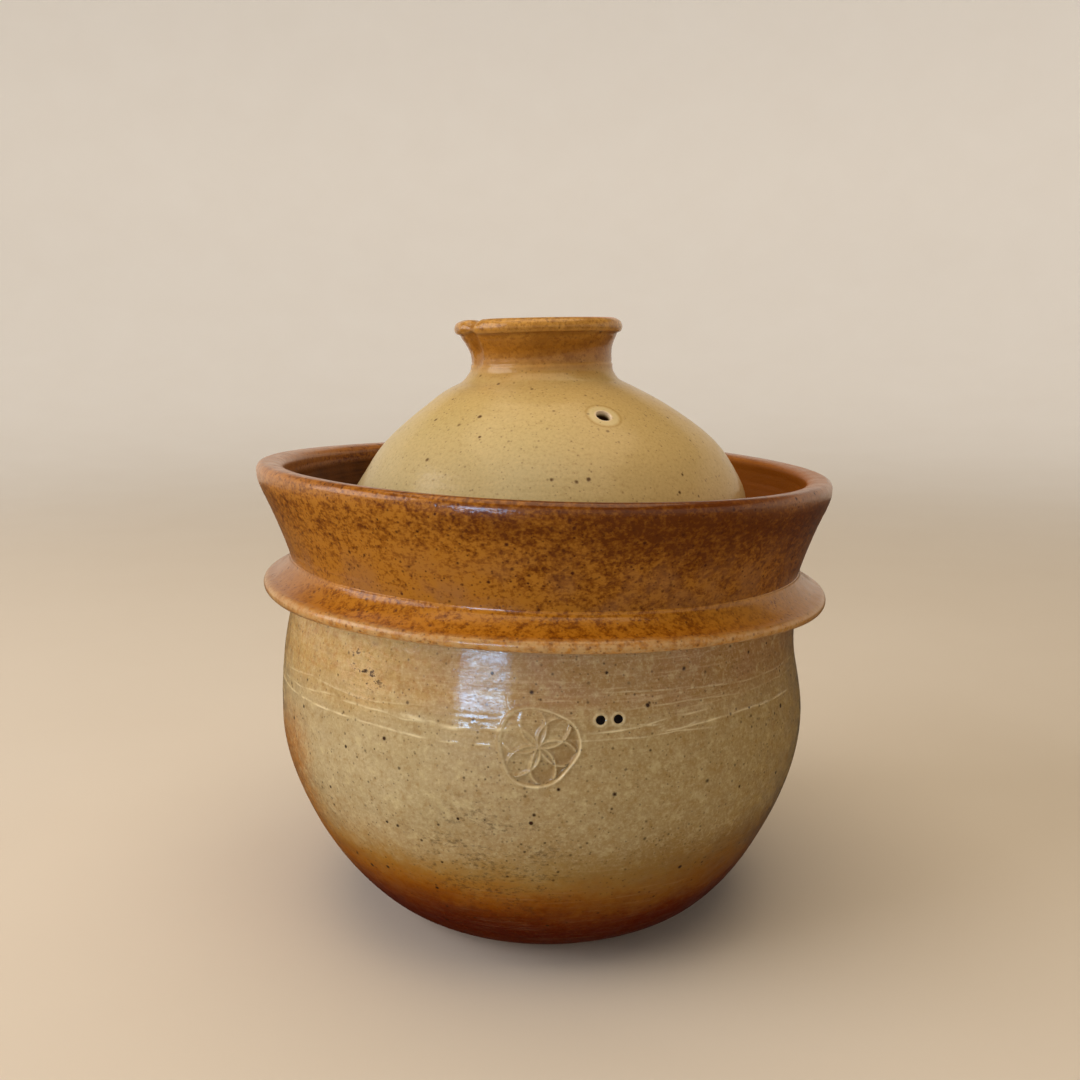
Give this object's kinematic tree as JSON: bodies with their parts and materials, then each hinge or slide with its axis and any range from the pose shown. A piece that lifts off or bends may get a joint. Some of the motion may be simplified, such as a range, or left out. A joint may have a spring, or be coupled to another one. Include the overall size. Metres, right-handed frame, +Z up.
{
  "type": "lidded ceramic rice pot",
  "caption": "Round-bellied stoneware cooking pot with a flared collar and grip flange, and a loose domed lid with a steam hole and ring knob, for cooking rice.",
  "frame": {"origin": "centre of the flat base, on the surface the pot stands on", "axes": "+Z up along the turning axis; the front, with the seal and the capacity dots, faces -Y"},
  "size_m": [0.184, 0.184, 0.1905],
  "materials": {
    "ash_glaze_bowl": "satin-gloss ash glaze over iron-speckled stoneware",
    "amber_glaze_collar": "glossy amber-brown glaze",
    "amber_glaze_flange": "glossy amber-brown glaze, thin and pale on the edge",
    "iron_slip": "dark iron slip",
    "ash_glaze_lid": "satin-gloss ash glaze over iron-speckled stoneware",
    "amber_glaze_knob": "glossy amber glaze, bare clay on the top ring"
  },
  "bodies": {
    "pot": {"bowl": "ash_glaze_bowl", "collar": "amber_glaze_collar", "flange": "amber_glaze_flange", "capacity_dots": "iron_slip"},
    "lid": {"lid_dome": "ash_glaze_lid", "lid_knob": "amber_glaze_knob"}
  },
  "joints": [
    {"name": "lid_lift", "type": "slide", "parent": "pot", "child": "lid", "axis": [0, 0, 1], "range_m": [0, 0.15]}
  ]
}
